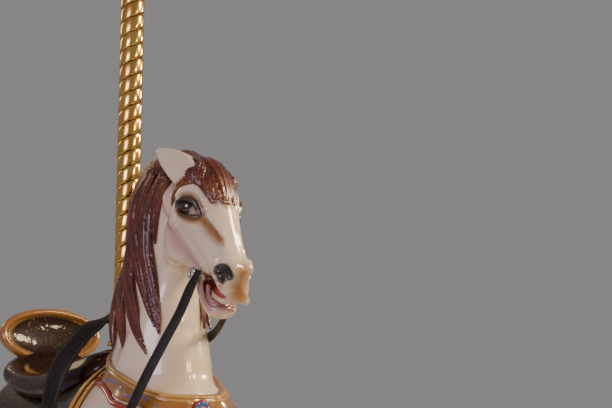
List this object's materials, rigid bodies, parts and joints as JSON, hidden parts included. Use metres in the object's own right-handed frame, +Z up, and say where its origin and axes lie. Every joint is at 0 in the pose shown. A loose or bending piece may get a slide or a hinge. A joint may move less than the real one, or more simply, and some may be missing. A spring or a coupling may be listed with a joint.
{
  "type": "carousel horse on a twisted brass pole",
  "caption": "Galloping carousel horse with saddle and reins on a rising twisted pole, guided by a bolted floor spigot.",
  "frame": {"origin": "the underside of the floor flange, on the pole's axis", "axes": "+X the way the horse faces, +Y its left side, +Z up along the pole"},
  "size_m": [1.4392, 0.4252, 2.4023],
  "materials": {
    "cream_paint": "glossy cream enamel over the moulded horse, shaded ochre round the eyes, muzzle and joints",
    "chestnut_hair": "glossy red-brown enamel over carved locks",
    "hoof_paint": "glossy dark brown enamel",
    "eye_glass": "polished dark glass eye",
    "saddle_paint": "very glossy dark brown enamel",
    "ochre_paint": "glossy ochre enamel with thin blue scrolls",
    "red_paint": "glossy red enamel",
    "black_leather": "black leather, semi-matt, worn at the edges",
    "bright_metal": "polished plated metal",
    "bare_steel": "drawn steel, greased",
    "painted_steel": "dark painted steel",
    "pole_brass": "polished brass with a twisted pattern"
  },
  "bodies": {
    "floor": {"floor_flange": "painted_steel", "spigot_rod": "bare_steel"},
    "horse": {"belly_ferrule": "pole_brass", "bit": "bright_metal", "body": "cream_paint", "brass_sleeve": "pole_brass", "breast_collar": "ochre_paint", "cantle": "saddle_paint", "cantle_rim": "ochre_paint", "collar_border": "red_paint", "ear_left": "cream_paint", "ear_right": "cream_paint", "eye_left": "eye_glass", "eye_right": "eye_glass", "foot_ferrule": "pole_brass", "fore_hoof_left": "hoof_paint", "fore_hoof_right": "hoof_paint", "fore_leg_left": "cream_paint", "fore_leg_right": "cream_paint", "forelock": "chestnut_hair", "girth": "black_leather", "hanger_eye": "painted_steel", "head": "cream_paint", "hind_hoof_left": "hoof_paint", "hind_hoof_right": "hoof_paint", "hind_leg_left": "cream_paint", "hind_leg_right": "cream_paint", "lower_jaw": "cream_paint", "mane_crest": "chestnut_hair", "mane_lock_left_1": "chestnut_hair", "mane_lock_left_2": "chestnut_hair", "mane_lock_left_3": "chestnut_hair", "mane_lock_right_1": "chestnut_hair", "mane_lock_right_2": "chestnut_hair", "mane_lock_right_3": "chestnut_hair", "mane_lock_right_4": "chestnut_hair", "neck": "cream_paint", "pole_core_tube": "bare_steel", "pole_strap": "black_leather", "rein_left": "black_leather", "rein_right": "black_leather", "rosette": "red_paint", "saddle_cloth": "saddle_paint", "saddle_ferrule": "pole_brass", "saddle_flap_left": "saddle_paint", "saddle_flap_right": "saddle_paint", "saddle_seat": "saddle_paint", "stirrup_leather_left": "black_leather", "stirrup_leather_right": "black_leather", "stirrup_left": "bright_metal", "stirrup_right": "bright_metal", "tail": "chestnut_hair"}
  },
  "joints": [
    {"name": "horse_rise", "type": "slide", "parent": "floor", "child": "horse", "axis": [0, 0, 1], "range_m": [-0.2, 0.2]}
  ]
}
